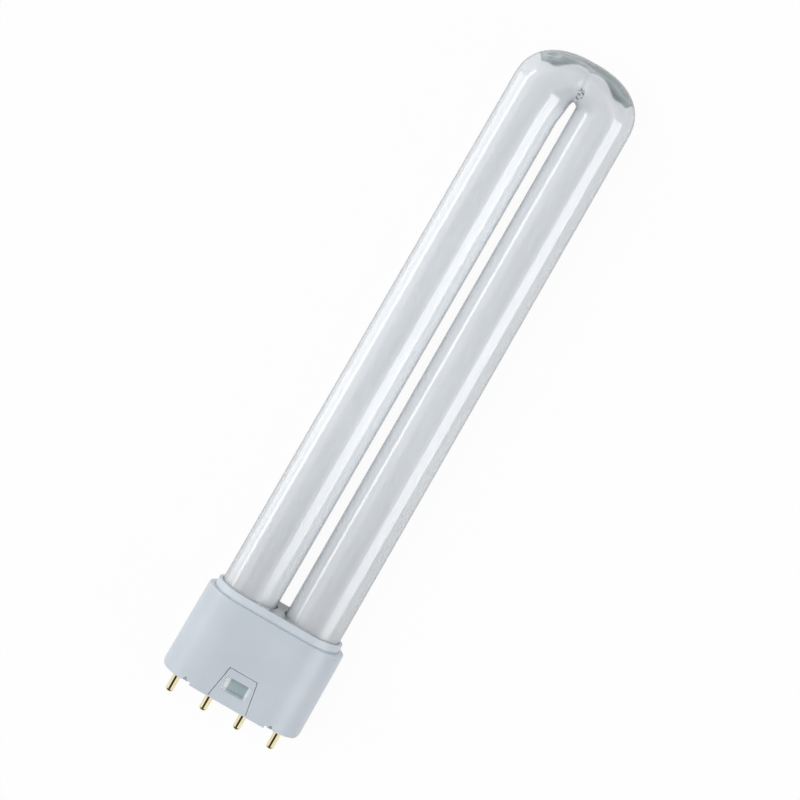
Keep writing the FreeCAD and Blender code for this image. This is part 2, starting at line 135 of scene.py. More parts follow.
class BulbGlass(bpy.types.PropertyGroup):
    """Sizes and colours of the glass tube."""

    foot_centre: length("Leg centre, foot", "From the middle to its centre, at the foot", 10.3 * MM)
    top_centre: length("Leg centre, top", "From the middle to its centre, at the bend", 9.9 * MM)
    foot_radius: length("Leg radius, foot", "Outside radius of a leg, at the foot", 8.67 * MM)
    top_radius: length("Leg radius, top", "Outside radius of a leg, under the bend", 8.6 * MM)
    foot_rounding: length("Foot rounding", "Radius round the closed foot of a leg", 1.2 * MM)
    dome_rise: length("Dome rise", "From the middle of the arch to the tip", 13.9 * MM)
    lead_in: length("Lead in", "Straight glass between the legs and the arch", 5.0 * MM)
    dome_fullness: FloatProperty(
        name="Dome fullness",
        description="2 is an ellipse and more is squarer",
        default=2.35,
        min=2,
        max=4,
    )
    slot_lean: level("Slot lean", "How far the slot's left side slants in, over half the gap", 0.58)
    slot_slant: length("Slot slant", "Length of leg over which that side slants in", 7.0 * MM)
    crease_depth: length("Crease depth", "How deep the valley between the lobes is", 1.0 * MM)
    crease_width: length("Crease width", "Half width of the valley just over the slot", 1.5 * MM)
    foot_rows: count("Rows of a foot", "Grid rows round each foot", 8)
    lengthwise: count("Rows of a leg", "Grid rows along each leg", 70)
    bend_rows: count("Rows of the bend", "Grid rows round the bend", 260)
    around: count("Columns", "Grid columns round the tube", 192)
    grey_from: length("Grey from", "From the foot to where the coating is greyest", 12 * MM)
    grey_to: length("Grey to", "From the foot to where the coating is white again", 75 * MM)
    grey: level("Grey", "Brightness of the coating where it is greyest", 0.85)
    phosphor: colour("Phosphor", "The white coating behind the glass", (0.715, 0.745, 0.775))
    clear_glass: colour("Clear glass", "Where the coating is missing", (0.305, 0.35, 0.365))
    clear_light: colour("Clear glass, light", "Its light streaks", (0.49, 0.54, 0.575))
    # also the colour of the painted shade on the right lobe of the clear patches
    clear_dark: colour("Clear glass, dark", "Its dark patches in front", (0.25, 0.30, 0.31))
    # painted shade for the line round the tube's edges, where the glass wall is seen edge on
    outline: colour("Outline", "The glass wall seen edge on", (0.28, 0.30, 0.32))


class BulbTip(bpy.types.PropertyGroup):
    """Where the coating is thin or puckered, round the tip of the tube."""

    border: level("Border", "Edge of the clear patch at the middle, as depth over radius", 0.65)
    border_rise: level("Border rise", "How much further out the edge runs on each lobe", 0.195)
    lobe_centre: length("Lobe centre", "From the middle to where it runs furthest out", 9.0 * MM)
    lobe_width: length("Lobe width", "Width of the bell that the edge makes on a lobe", 3.1 * MM)
    closing: length("Closing", "From the middle to where the edge starts to close", 12.5 * MM)
    closed: length("Closed", "From the middle to where the edge has closed", 16.0 * MM)
    edge_fade: level("Edge fade", "Half the width over which the edge fades", 0.03)
    reach: length("Reach", "How far below the tip the clear patch ends", 7.0 * MM)
    reach_fade: length("Reach fade", "Half the length over which it ends there", 0.6 * MM)
    lens_inset: level("Lens inset", "From the edge to the middle of the dark lens", 0.09)
    lens_thickness: level("Lens thickness", "Half the thickness of the dark lens", 0.1)
    lens_centre: length("Lens centre", "From the middle to the lens on each lobe", 9.6 * MM)
    lens_width: length("Lens width", "Half the width of the lens", 4.6 * MM)
    lens_dark: level("Lens dark", "How dark the lens is", 0.8)
    # painted shade on the right lobe of the clear patches, where less light falls
    right_painted_shade: level("Right dark", "How dark the right lobe is", 0.45)
    right_from: length("Right from", "X where it starts to grow dark", -1.0 * MM)
    right_to: length("Right to", "X from where it is as dark as it gets", 6.0 * MM)
    fleck_x: length("Flecks across", "X of the flecks", 0.5 * MM)
    fleck_below: length("Flecks below", "From the tip down to the flecks", 8.7 * MM)
    fleck_width: length("Flecks' width", "Half the width of their oval", 1.2 * MM)
    fleck_height: length("Flecks' height", "Half the height of their oval", 2.2 * MM)
    pucker_x: length("Pucker across", "X of the puckered spot", 0.3 * MM)
    pucker_below: length("Pucker below", "From the tip down to the puckered spot", 7.0 * MM)
    pucker_width: length("Pucker's width", "Half the width of its oval", 2.4 * MM)
    pucker_height: length("Pucker's height", "Half the height of its oval", 3.2 * MM)


class BulbCap(bpy.types.PropertyGroup):
    """Colours of the cap's mouldings and wires, with painted shade and highlights in the latch
    recess and between the legs, and the cement's colour and sizes.
    """

    cap: colour("Cap", "Light blue grey moulded plastic", (0.595, 0.65, 0.715))
    holder: colour("Tube holder", "The rim round the legs", (0.63, 0.685, 0.735))
    # painted shade for the holder's top between the legs, where their shade falls
    painted_seat_shade: colour("Seat", "The holder's darker top between the legs", (0.28, 0.34, 0.36))
    # painted shade for the latch recess's floor, where little light reaches
    recess: colour("Latch recess", "Floor of the latch recess", (0.39, 0.475, 0.495))
    # painted highlight for the recess's side walls, where light falls on them
    recess_wall_highlight: colour("Recess walls", "Polished walls of the latch recess", (0.9, 0.92, 0.93))
    cement: colour("Cement", "Lamp cement round the legs", (0.62, 0.60, 0.54))
    wire: colour("Lead wire", "Nickel plated wire", (0.60, 0.59, 0.57))
    cement_creep: level("Cement creep", "How much of the rim's height the cement climbs", 0.85)
    cement_overlap: length("Cement overlap", "How far the ring reaches into the glass", 0.2 * MM)
    cement_rows: count("Rows of cement", "Grid rows over the ring's top", 7)
    cement_around: count("Columns of cement", "Grid columns round the ring", 96)


class BulbPins(bpy.types.PropertyGroup):
    """Sizes and colour of the contact pins."""

    shank_radius: length("Shank radius", "Radius of the part that goes into the holder", 1.2 * MM)
    root_radius: length("Root radius", "Radius of the part that fills the plate", 1.4 * MM)
    bore_radius: length("Bore radius", "Radius of the hole for the lead wire", 0.4 * MM)
    plate: length("Plate", "Thickness of the plate that holds the pins", 3.5 * MM)
    collar: length("Collar", "Thickness of the collar that seats on the plate", 0.8 * MM)
    bore_floor: length("Bore floor", "From the cap's foot to the end of the bore", 2.0 * MM)
    tip_rounding: length("Tip rounding", "Radius round the tip", 1.0 * MM)
    tip_rows: count("Rows of the tip", "Grid rows round the tip", 10)
    around: count("Columns", "Grid columns round a pin", 48)
    sharp_from: angle("Sharp from", "Edges that turn further than this stay sharp", 40)
    brass: colour("Brass", "Polished pale brass", (0.90, 0.83, 0.56))


class BulbStage(bpy.types.PropertyGroup):
    """The camera, the lamps, the world and the floor."""

    camera_distance: length("Camera distance", "From the camera to the bulb", 3.0)
    frame_width: length("Frame width", "Width of what the camera sees at the bulb", 226.6 * MM)
    camera_tilt: angle("Camera tilt", "Its lean from overhead towards the bulb's tip", 10.3)
    camera_turn: angle("Camera turn", "How far the bulb's +X is turned in the picture", 29.9)
    aim_x: length("Aim across", "Where the camera aims, along X", -0.53 * MM)
    aim_y: length("Aim along", "Where the camera aims, along Y", -2.33 * MM)
    strip: level("Strip", "Brightness of the narrow strip lamp", 3.0)
    card: level("Card", "Brightness of the white card close on the left", 1.35)
    softbox: level("Softbox", "Brightness of the broad softbox", 2.95)
    bounce: level("Bounce", "Brightness of the small card in the slot, which faces left", 0.36)
    front: level("Front", "Brightness of the lamp overhead, for dull surfaces only", 5.2)
    side: level("Side", "Brightness of the lamp on the right, for dull surfaces only", 4.1)
    fill: level("Fill", "Brightness of the room's light on dull surfaces", 1.62)
    ceiling: level("Ceiling", "Brightness of the dark ceiling over the camera", 0.03)
    ceiling_full: angle("Ceiling, full", "Half angle over which the ceiling is fully dark", 25)
    ceiling_edge: angle("Ceiling, edge", "Half angle where the bright room begins", 40)
    past_tip: level("Past the tip", "Brightness of the room beyond the bulb's tip", 0.2)
    past_pins: level("Past the pins", "Brightness of the room beyond the pins", 0.06)
    right_end: level("Right end", "How bright the right end is for dull surfaces", 0.1)
    floor: colour("Floor", "Pale floor", (0.9, 0.9, 0.9))
    floor_half: length("Floor size", "Half the width of the floor", 12.0)
    floor_glow: level("Floor glow", "How much of the floor is plain white to the camera", 0.95)


def skin(rings, poles=()):
    """A closed mesh over a grid of rings: each ring is joined to the next by quads. With two poles
    the first and the last ring are each closed by triangles to their pole, and with none they are
    joined to each other. The faces are turned over if the volume, the sum of a . (b x c) / 6 over
    the triangles, comes out negative."""
    rows, columns = rings.shape[:2]
    index = np.arange(rows * columns).reshape(rows, columns)
    if not poles:
        index = np.concatenate([index, index[:1]])
    after = np.roll(index, -1, axis=1)
    quads = np.stack([index[:-1], after[:-1], after[1:], index[1:]], axis=-1).reshape(-1, 4)
    points = np.concatenate([rings.reshape(-1, 3), np.array(poles).reshape(-1, 3)])
    triangles = np.zeros((0, 3), dtype=int)
    if poles:
        first, last = rows * columns, rows * columns + 1
        low = np.stack([np.full(columns, first), after[0], index[0]], axis=-1)
        high = np.stack([np.full(columns, last), index[-1], after[-1]], axis=-1)
        triangles = np.concatenate([low, high])
    halves = np.concatenate([quads[:, [0, 1, 2]], quads[:, [0, 2, 3]], triangles])
    a, b, c = (points[halves[:, corner]] for corner in range(3))
    if np.einsum("ij,ij->i", a, np.cross(b, c)).sum() < 0:
        quads, triangles = quads[:, ::-1], triangles[:, ::-1]
    mesh = bpy.data.meshes.new("skin")
    mesh.from_pydata(points, [], quads.tolist() + triangles.tolist())
    mesh.polygons.foreach_set("use_smooth", np.ones(len(mesh.polygons), dtype=bool))
    mesh.update()
    if mesh.validate(verbose=False):
        raise RuntimeError("the surface has faces that Blender can't keep")
    return mesh


def add_piece(name, mesh, node, material):
    """Links a mesh as a piece that rides with the bulb and stands for one CAD node."""
    mesh.name = name
    piece = bpy.data.objects.new(name, mesh)
    bpy.context.scene.collection.objects.link(piece)
    mesh.materials.append(material)
    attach(piece, "root")
    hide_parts(node)
    return piece


def finish_node(node, material):
    """Gives a CAD node's object a finish in place of its plain one."""
    piece = frame["nodes"][node]
    if not piece.material_slots:
        raise RuntimeError(f"{node} has no material slot")
    for place in piece.material_slots:
        place.material = material


def smooth_step(low, high, values):
    """0 below low, 1 above high, and 3 t^2 - 2 t^3 between them."""
    t = np.clip((values - low) / (high - low), 0.0, 1.0)
    return t * t * (3 - 2 * t)


def bell(values, middle, width):
    """A bell e^(-t^2), with t the distance from its middle in widths."""
    return np.exp(-(((values - middle) / width) ** 2))


def leg_at(sizes, y):
    """A leg's distance from the middle and its radius at a height, changing evenly to the bend."""
    top_y = TUBE_HIGH.y - sizes.dome_rise - sizes.lead_in
    share = np.clip((y - TUBE_LOW.y) / (top_y - TUBE_LOW.y), 0.0, 1.0)
    centre = sizes.foot_centre + (sizes.top_centre - sizes.foot_centre) * share
    return centre, sizes.foot_radius + (sizes.top_radius - sizes.foot_radius) * share


def tube_stations(sizes):
    """The rings' places along the tube, from the left foot over the arch to the right foot.

    Each leg is straight and leans a little towards the other one. Round the arch, at an angle a
    from the right, the dome outside lies at D = ((|cos a| / half span)^p + (sin a / rise)^p)^(-1/p)
    from the middle and the slot inside at half the gap, and each ring reaches from the one to the
    other. The slot's end leans to the right: its left side slants in by the slot lean, up the leg
    and round the arch to just past its top. Returns the centres' x and y, the outward direction's x
    and y, and the rings' half widths and half depths.
    """
    arch_y = TUBE_HIGH.y - sizes.dome_rise
    turn = np.linspace(0, math.pi / 2, sizes.foot_rows)
    foot_y = TUBE_LOW.y + sizes.foot_rounding * (1 - np.cos(turn))
    shrink = np.concatenate([(1 - np.sin(turn)) * sizes.foot_rounding, np.zeros(sizes.lengthwise)])
    leg_y = np.concatenate([foot_y, np.linspace(foot_y[-1], arch_y, sizes.lengthwise + 1)[1:]])
    leg_x, leg_r = leg_at(sizes, leg_y)
    leg_r = leg_r - shrink
    slant = smooth_step(arch_y - sizes.slot_slant, arch_y, leg_y)
    slant = (leg_x[-1] - leg_r[-1]) * sizes.slot_lean / 2 * slant
    a = np.linspace(math.pi, 0, sizes.bend_rows + 1)[1:-1]
    across, along = np.cos(a), np.sin(a)
    half_span = sizes.top_centre + sizes.top_radius
    lean_end, lean_start = math.radians(75), math.radians(140)
    lean = 1 - sizes.slot_lean * smooth_step(lean_end, lean_start, a)
    half_slot = (sizes.top_centre - sizes.top_radius) * lean
    power = sizes.dome_fullness
    dome = np.abs(across / half_span) ** power + (along / sizes.dome_rise) ** power
    dome = dome ** (-1 / power)
    middle, half = (dome + half_slot) / 2, (dome - half_slot) / 2
    full = np.full(len(a), sizes.top_radius)
    ones, none = np.ones(len(leg_y)), np.zeros(len(leg_y))
    return (
        np.concatenate([slant - leg_x, across * middle, leg_x[::-1]]),
        np.concatenate([leg_y, arch_y + along * middle, leg_y[::-1]]),
        np.concatenate([-ones, across, ones]),
        np.concatenate([none, along, none]),
        np.concatenate([leg_r + slant, half, leg_r[::-1]]),
        np.concatenate([leg_r, full, leg_r[::-1]]),
    )


def crease(sizes, x, y, depth):
    """How far the surface's depth shrinks in the valley where the two lobes of the bend meet: a
    bell across the middle with a broad foot, widest and deepest just over the slot and dying out at
    the crest of the dome. It takes no more than half the depth."""
    narrowing, flattening = 0.62, 0.55
    foot_depth, foot_width = 0.35, 3.2
    below, above = 2.0 * MM, 1.0 * MM
    least_depth = 2.0 * MM
    slot_top = TUBE_HIGH.y - sizes.dome_rise + sizes.top_centre - sizes.top_radius
    climb = np.clip((y - slot_top) / (TUBE_HIGH.y - slot_top), 0.0, 1.0)
    start = smooth_step(-below, above, y - slot_top)
    width = sizes.crease_width * (1.0 - narrowing * climb)
    fall = sizes.crease_depth * (1.0 - flattening * climb) * start
    valley = bell(x, 0.0, width) + foot_depth * bell(x, 0.0, foot_width * width)
    return np.clip(fall * valley / np.maximum(np.abs(depth), least_depth), 0.0, 0.5)


def in_oval(x, y, across, below, half_width, half_height):
    """The squared distance from the middle of an oval below the tip, 1 on the oval itself."""
    return ((x - across) / half_width) ** 2 + ((y - TUBE_HIGH.y + below) / half_height) ** 2


def tip_marks(marks, x, y, depth):
    """Where the coating is thin: 'clear' is 1 on the crest of the dome, between a border on the
    front and its mirror on the back, 'dark' is 1 in a lens along the border on each lobe and grows
    to the right as painted shade, 'flecks' is 1 in a small oval over the slot and 'rough', the
    puckered glass, in a larger one. The border is a level of depth over radius with a bell on each
    lobe and a slight scallop of two sine waves, and it closes at the ends."""
    share = np.abs(depth) / TUBE_RADIUS
    out = np.abs(x)
    waves = 0.004 * np.sin(1.3 * out / MM + 0.6)
    ripples = 0.0015 * np.sin(4.1 * out / MM + 1.0 + x / MM)
    lobes = marks.border_rise * bell(out, marks.lobe_centre, marks.lobe_width)
    closing = smooth_step(marks.closing, marks.closed, out) ** 2
    border = (marks.border + lobes + waves + ripples) * (1 - closing)
    low, high = -marks.reach - marks.reach_fade, -marks.reach + marks.reach_fade
    on_dome = smooth_step(low, high, y - TUBE_HIGH.y)
    clear = smooth_step(-marks.edge_fade, marks.edge_fade, border - share) * on_dome
    lens = bell(border - share, marks.lens_inset, marks.lens_thickness)
    lens = lens * bell(out, marks.lens_centre, marks.lens_width)
    # painted shade: the clear glass grows darker towards the right, where less light falls
    right = smooth_step(marks.right_from, marks.right_to, x)
    dark = np.clip(marks.lens_dark * lens + marks.right_painted_shade * right, 0.0, 1.0)
    flecks = in_oval(
        x, y, marks.fleck_x, marks.fleck_below, marks.fleck_width, marks.fleck_height
    )
    rough = in_oval(
        x, y, marks.pucker_x, marks.pucker_below, marks.pucker_width, marks.pucker_height
    )
    return {
        "clear": clear,
        "dark": dark,
        "flecks": 1 - smooth_step(0.5, 1.1, flecks),
        "rough": 1 - smooth_step(0.0, 1.5, rough),
    }


def make_tube_mesh(sizes, marks):
    """The glass tube's outside. A ring at a station is centre + outward * half width * cos t
    through the arch's plane and half depth * sin t through the depth, pulled in at the crease. The
    marks at the tip are kept as attributes of the points, 0 on both poles."""
    x, y, out_x, out_y, half, deep = (row[:, None] for row in tube_stations(sizes))
    t = np.linspace(0, 2 * math.pi, sizes.around, endpoint=False)[None, :]
    px = x + out_x * half * np.cos(t)
    py = y + out_y * half * np.cos(t)
    depth = deep * np.sin(t)
    depth = depth * (1 - crease(sizes, px, py, depth))
    rings = np.stack([px, py, MID_DEPTH + depth], axis=-1)
    left = (x[0, 0], TUBE_LOW.y, MID_DEPTH)
    right = (x[-1, 0], TUBE_LOW.y, MID_DEPTH)
    mesh = skin(rings, (left, right))
    for name, values in tip_marks(marks, px, py, depth).items():
        mark = mesh.attributes.new(name, "FLOAT", "POINT")
        values = np.concatenate([values.ravel(), [0.0, 0.0]])
        mark.data.foreach_set("value", values.astype(np.float32))
    return mesh


def make_cement_mesh(glass, cap, node):
    """The ring of cement between a leg and its bore. Round its section run an outer wall in the
    bore, a top that creeps up the glass with the square of the way in, and an inner wall just
    inside the glass; each ring is centre + radius * (cos t, sin t)."""
    low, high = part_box(node)
    bore_x, bore_radius = (low.x + high.x) / 2, (high.x - low.x) / 2
    share = np.linspace(0, 1, cap.cement_rows)
    creep = cap.cement_creep * (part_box("tube_holder")[1].y - high.y) * share**2
    y = np.concatenate([[low.y], high.y + creep, [low.y]])[:, None]
    inward = np.concatenate([[0.0], share, [1.0]])[:, None]
    leg_x, leg_radius = leg_at(glass, y)
    x = bore_x + (math.copysign(1, bore_x) * leg_x - bore_x) * inward
    radius = bore_radius + (leg_radius - cap.cement_overlap - bore_radius) * inward
    t = np.linspace(0, 2 * math.pi, cap.cement_around, endpoint=False)[None, :]
    rings = [x + radius * np.cos(t), y + 0 * t, MID_DEPTH + radius * np.sin(t)]
    return skin(np.stack(rings, axis=-1))


def make_pin_mesh(sizes, node):
    """A contact pin turned about its own axis: a profile of radius and place along the pin, from
    the pole at the tip, round the tip, up the shank, root and collar, over the head and down into
    the bore."""
    low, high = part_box(node)
    cap_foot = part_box("pin_carrier")[0].y
    mount = next(m for m in frame["record"]["mounts"] if m["name"] == node.removeprefix("contact_"))
    plate_face = mount["pos_m"][1] + mount["dims"]["length_mm"] * MM / 2
    collar_low = cap_foot + sizes.plate
    collar_high = collar_low + sizes.collar
    collar = (high.x - low.x) / 2
    bore_end = cap_foot + sizes.bore_floor
    turn = np.linspace(0, math.pi / 2, sizes.tip_rows)
    tip = sizes.tip_rounding
    flat = sizes.shank_radius - tip
    profile = [(flat + tip * math.sin(a), low.y + tip * (1 - math.cos(a))) for a in turn]
    profile += [
        (sizes.shank_radius, plate_face),
        (sizes.root_radius, plate_face),
        (sizes.root_radius, collar_low),
        (collar, collar_low),
        (collar, collar_high),
        (sizes.shank_radius, collar_high),
        (sizes.shank_radius, high.y),
        (sizes.bore_radius, high.y),
        (sizes.bore_radius, bore_end),
    ]
    radius, place = (np.array(column)[:, None] for column in zip(*profile))
    t = np.linspace(0, 2 * math.pi, sizes.around, endpoint=False)[None, :]
    x, z = (low.x + high.x) / 2, (low.z + high.z) / 2
    rings = [x + radius * np.cos(t), place + 0 * t, z + radius * np.sin(t)]
    mesh = skin(np.stack(rings, axis=-1), ((x, low.y, z), (x, bore_end, z)))
    mesh.set_sharp_from_angle(angle=sizes.sharp_from)
    return mesh


def new_material(name):
    """A material of one Principled shader, with its node tree and that shader."""
    material = bpy.data.materials.new(name)
    material.use_nodes = True
    tree = material.node_tree
    shader = next(node for node in tree.nodes if node.type == "BSDF_PRINCIPLED")
    return material, tree, shader


def add_node(tree, kind, **settings):
    """A node with its settings; one with a leading socket_ is set on the input of that name."""
    node = tree.nodes.new(kind)
    for name, value in settings.items():
        if name.startswith("socket_"):
            socket = name.removeprefix("socket_").replace("_", " ")
            node.inputs[socket].default_value = value
        else:
            setattr(node, name, value)
    return node


def set_sockets(shader, **values):
    for name, value in values.items():
        shader.inputs[name.replace("_", " ")].default_value = value


def remap(tree, source, low, high, to_low, to_high, smooth=False):
    """A value moved from one range to another, and clamped there."""
    node = add_node(tree, "ShaderNodeMapRange", clamp=True)
    node.interpolation_type = "SMOOTHSTEP" if smooth else "LINEAR"
    names = ("From Min", "From Max", "To Min", "To Max")
    for name, value in zip(names, (low, high, to_low, to_high)):
        node.inputs[name].default_value = value
    tree.links.new(source, node.inputs["Value"])
    return node.outputs["Result"]


def spread(tree, noise, low=0.0, high=1.0):
    """The middle of a noise's values, 0.3 to 0.7, spread from low to high."""
    return remap(tree, noise, 0.3, 0.7, low, high)


def blend_colours(tree, factor, first, second, kind="MIX"):
    """Two colours mixed by a factor; each may be a socket or a plain colour."""
    node = add_node(tree, "ShaderNodeMix", data_type="RGBA", blend_type=kind)
    # a mix node has its sockets for colours after those for numbers and vectors
    sockets = (node.inputs[0], node.inputs[6], node.inputs[7])
    for socket, value in zip(sockets, (factor, first, second)):
        if isinstance(value, bpy.types.NodeSocket):
            tree.links.new(value, socket)
        elif isinstance(value, (int, float)):
            socket.default_value = value
        else:
            socket.default_value = (*value, 1.0)
    return node.outputs[2]


def work_out(tree, operation, first, second=0.0):
    """One step of arithmetic on sockets or numbers."""
    node = add_node(tree, "ShaderNodeMath", operation=operation)
    for socket, value in zip(node.inputs, (first, second)):
        if isinstance(value, bpy.types.NodeSocket):
            tree.links.new(value, socket)
        else:
            socket.default_value = value
    return node.outputs[0]


def mark_at(tree, name):
    """The value of one of the tube's own attributes."""
    return add_node(tree, "ShaderNodeAttribute", attribute_name=name).outputs["Fac"]


def noise_at(tree, place, scale):
    """Noise of two details at a place."""
    noise = add_node(tree, "ShaderNodeTexNoise", socket_Scale=scale, socket_Detail=2.0)
    tree.links.new(place, noise.inputs["Vector"])
    return noise.outputs["Fac"]


def new_group(name, inputs, outputs):
    """An empty shader node group with named sockets, and its input and output nodes."""
    tree = bpy.data.node_groups.new(name, "ShaderNodeTree")
    for label, kind, value in inputs:
        socket = tree.interface.new_socket(label, in_out="INPUT", socket_type=kind)
        socket.default_value = value
    for label, kind in outputs:
        tree.interface.new_socket(label, in_out="OUTPUT", socket_type=kind)
    return tree, tree.nodes.new("NodeGroupInput"), tree.nodes.new("NodeGroupOutput")


def streaks_group():
    """Soft streaks drawn out along the bulb: noise at the object's coordinates, squeezed in Y."""
    known = bpy.data.node_groups.get("lengthwise_streaks")
    if known:
        return known
    tree, given, result = new_group(
        "lengthwise_streaks",
        [("Scale", "NodeSocketFloat", 300.0), ("Stretch", "NodeSocketFloat", 0.05)],
        [("Streaks", "NodeSocketFloat")],
    )
    place = add_node(tree, "ShaderNodeTexCoord")
    squeeze = add_node(tree, "ShaderNodeCombineXYZ", socket_X=1.0, socket_Z=1.0)
    tree.links.new(given.outputs["Stretch"], squeeze.inputs["Y"])
    scaled = add_node(tree, "ShaderNodeVectorMath", operation="MULTIPLY")
    tree.links.new(place.outputs["Object"], scaled.inputs[0])
    tree.links.new(squeeze.outputs[0], scaled.inputs[1])
    noise = add_node(tree, "ShaderNodeTexNoise", socket_Detail=3.0, socket_Roughness=0.55)
    tree.links.new(scaled.outputs[0], noise.inputs["Vector"])
    tree.links.new(given.outputs["Scale"], noise.inputs["Scale"])
    tree.links.new(noise.outputs["Fac"], result.inputs["Streaks"])
    return tree


def moulding_group():
    """Moulded plastic: a colour with soft cloudy shades, a roughness that wanders a little, and a
    fine grain to be used as height."""
    known = bpy.data.node_groups.get("moulded_plastic")
    if known:
        return known
    tree, given, result = new_group(
        "moulded_plastic",
        [
            ("Colour", "NodeSocketColor", (0.6, 0.6, 0.6, 1.0)),
            ("Shade", "NodeSocketFloat", 0.04),
            ("Cloud scale", "NodeSocketFloat", 60.0),
            ("Grain scale", "NodeSocketFloat", 3500.0),
            ("Low roughness", "NodeSocketFloat", 0.3),
            ("High roughness", "NodeSocketFloat", 0.4),
        ],
        [
            ("Colour", "NodeSocketColor"),
            ("Roughness", "NodeSocketFloat"),
            ("Grain", "NodeSocketFloat"),
        ],
    )
    place = add_node(tree, "ShaderNodeTexCoord")
    cloud = add_node(tree, "ShaderNodeTexNoise", socket_Detail=2.0)
    grain = add_node(tree, "ShaderNodeTexNoise", socket_Detail=2.0)
    for noise, scale in ((cloud, "Cloud scale"), (grain, "Grain scale")):
        tree.links.new(place.outputs["Object"], noise.inputs["Vector"])
        tree.links.new(given.outputs[scale], noise.inputs["Scale"])
    swing = spread(tree, cloud.outputs["Fac"], -1.0, 1.0)
    shade = work_out(tree, "MULTIPLY", swing, given.outputs["Shade"])
    strength = work_out(tree, "ADD", shade, 1.0)
    tint = add_node(tree, "ShaderNodeCombineColor")
    for channel in ("Red", "Green", "Blue"):
        tree.links.new(strength, tint.inputs[channel])
    shaded = blend_colours(tree, 1.0, given.outputs["Colour"], tint.outputs[0], "MULTIPLY")
    wander = add_node(tree, "ShaderNodeMapRange", clamp=True)
    tree.links.new(cloud.outputs["Fac"], wander.inputs["Value"])
    tree.links.new(given.outputs["Low roughness"], wander.inputs["To Min"])
    tree.links.new(given.outputs["High roughness"], wander.inputs["To Max"])
    tree.links.new(shaded, result.inputs["Colour"])
    tree.links.new(wander.outputs["Result"], result.inputs["Roughness"])
    tree.links.new(grain.outputs["Fac"], result.inputs["Grain"])
    return tree


def add_group(tree, group, **values):
    node = add_node(tree, "ShaderNodeGroup", node_tree=group)
    set_sockets(node, **values)
    return node


def paint_zone(tree, base, tone, spans):
    """Blends tone into a colour inside a soft box. A span gives, along X, Y or the distance D from
    the middle of the depth, where the zone starts, is full, is still full and has ended, in mm."""
    split = add_node(tree, "ShaderNodeSeparateXYZ")
    tree.links.new(add_node(tree, "ShaderNodeTexCoord").outputs["Object"], split.inputs[0])
    off_middle = work_out(tree, "SUBTRACT", split.outputs["Z"], MID_DEPTH)
    off_middle = work_out(tree, "ABSOLUTE", off_middle)
    mask = 1.0
    for axis, (start, full, still, ended) in spans.items():
        value = off_middle if axis == "D" else split.outputs[axis]
        rise = remap(tree, value, start * MM, full * MM, 0.0, 1.0, smooth=True)
        fall = remap(tree, value, still * MM, ended * MM, 1.0, 0.0, smooth=True)
        mask = work_out(tree, "MULTIPLY", mask, work_out(tree, "MULTIPLY", rise, fall))
    return blend_colours(tree, mask, base, tone)


def make_plastic(name, tone, roughness, grain_height=0.004 * MM, shade=0.03, zones=()):
    """Satin moulded plastic, with the painted shade or painted highlight of each zone blended into
    its colour.
    """
    material, tree, shader = new_material(name)
    moulded = add_group(
        tree,
        moulding_group(),
        Colour=(*tone, 1.0),
        Shade=shade,
        Low_roughness=roughness[0],
        High_roughness=roughness[1],
    )
    bump = add_node(tree, "ShaderNodeBump", socket_Strength=0.35, socket_Distance=grain_height)
    tree.links.new(moulded.outputs["Grain"], bump.inputs["Height"])
    painted = moulded.outputs["Colour"]
    for zone_tone, spans in zones:
        painted = paint_zone(tree, painted, zone_tone, spans)
    tree.links.new(painted, shader.inputs["Base Color"])
    tree.links.new(moulded.outputs["Roughness"], shader.inputs["Roughness"])
    tree.links.new(bump.outputs["Normal"], shader.inputs["Normal"])
    set_sockets(shader, IOR=1.5)
    return material


